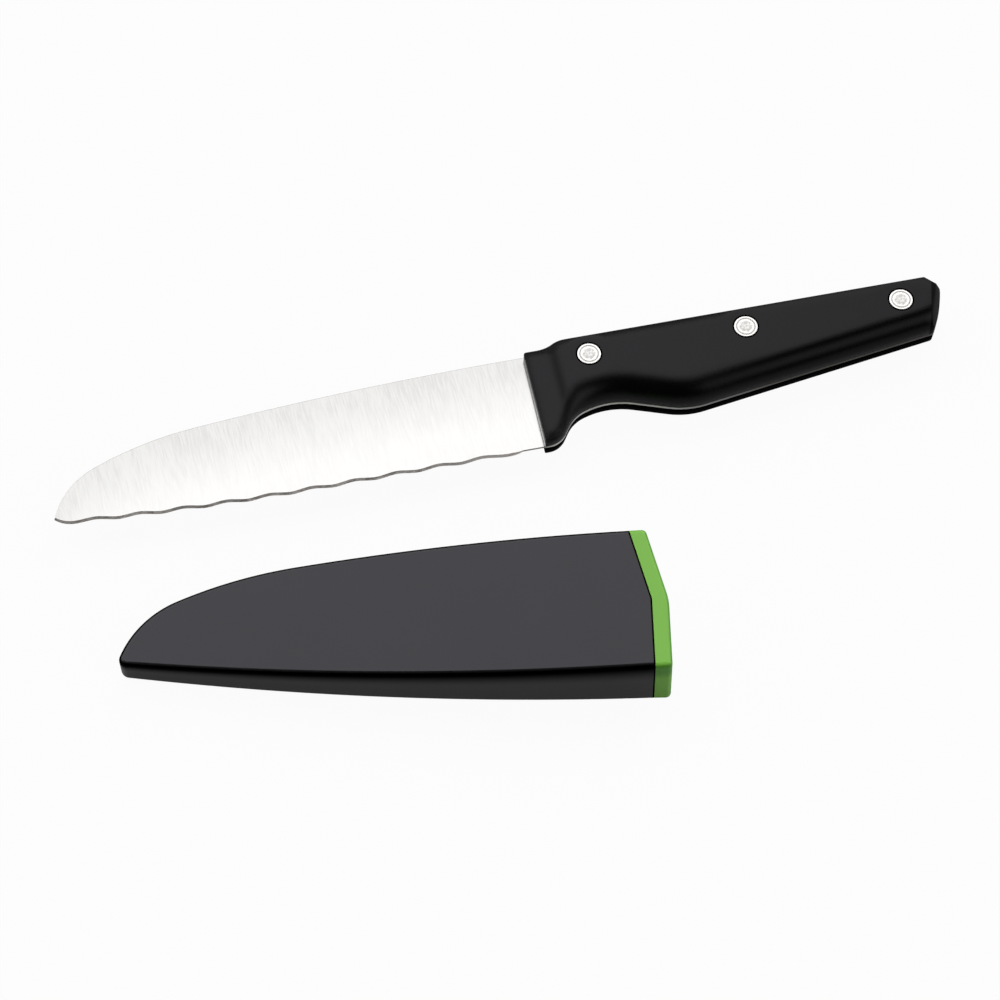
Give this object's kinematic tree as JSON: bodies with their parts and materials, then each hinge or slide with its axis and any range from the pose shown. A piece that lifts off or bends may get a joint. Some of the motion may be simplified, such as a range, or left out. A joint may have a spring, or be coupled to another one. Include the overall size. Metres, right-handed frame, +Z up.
{
  "type": "bread knife",
  "caption": "Bread knife with a wavy-edged steel blade, riveted black handle scales and a wedge-shaped scabbard with a sprung sharpener behind its mouth cap.",
  "frame": {"origin": "on the table, under the middle of the two pieces as they lie side by side", "axes": "+X from the knife's tip to its butt, +Y from its cutting edge to its spine, +Z up from the table"},
  "size_m": [0.2823, 0.118, 0.0226],
  "materials": {
    "blade_steel": "satin",
    "rivet": "satin",
    "handle": "satin",
    "scabbard": "matte",
    "mouth_cap": "satin",
    "sharpener": "satin",
    "sharpening_bar": "matte",
    "pivot_steel": "polished",
    "spring_steel": "satin"
  },
  "bodies": {
    "knife": {"blade": "blade_steel", "handle_scale_upper": "handle", "handle_scale_lower": "handle", "rivet_sleeve_front": "rivet", "rivet_sleeve_middle": "rivet", "rivet_sleeve_rear": "rivet", "rivet_pin_front": "rivet", "rivet_pin_middle": "rivet", "rivet_pin_rear": "rivet"},
    "scabbard": {"scabbard_shell": "scabbard", "mouth_cap": "mouth_cap", "arm_pivot_pin": "pivot_steel", "arm_spring": "spring_steel"},
    "sharpener": {"sharpener_arm": "sharpener", "sharpening_bar_left": "sharpening_bar", "sharpening_bar_right": "sharpening_bar"}
  },
  "joints": [
    {"name": "scabbard_slide", "type": "slide", "parent": "knife", "child": "scabbard", "axis": [0.9831, -0.1829, 0], "range_m": [0, 0.15]},
    {"name": "arm_pivot", "type": "hinge", "parent": "scabbard", "child": "sharpener", "pos_m": [-0.00196, -0.04809, 0.01006], "axis": [0.0407, -0.0076, -0.9991], "range_deg": [0, 3.4], "stiffness_Nm_per_rad": 0.05, "springref_deg": -20.05, "deforming": ["arm_spring"]}
  ]
}
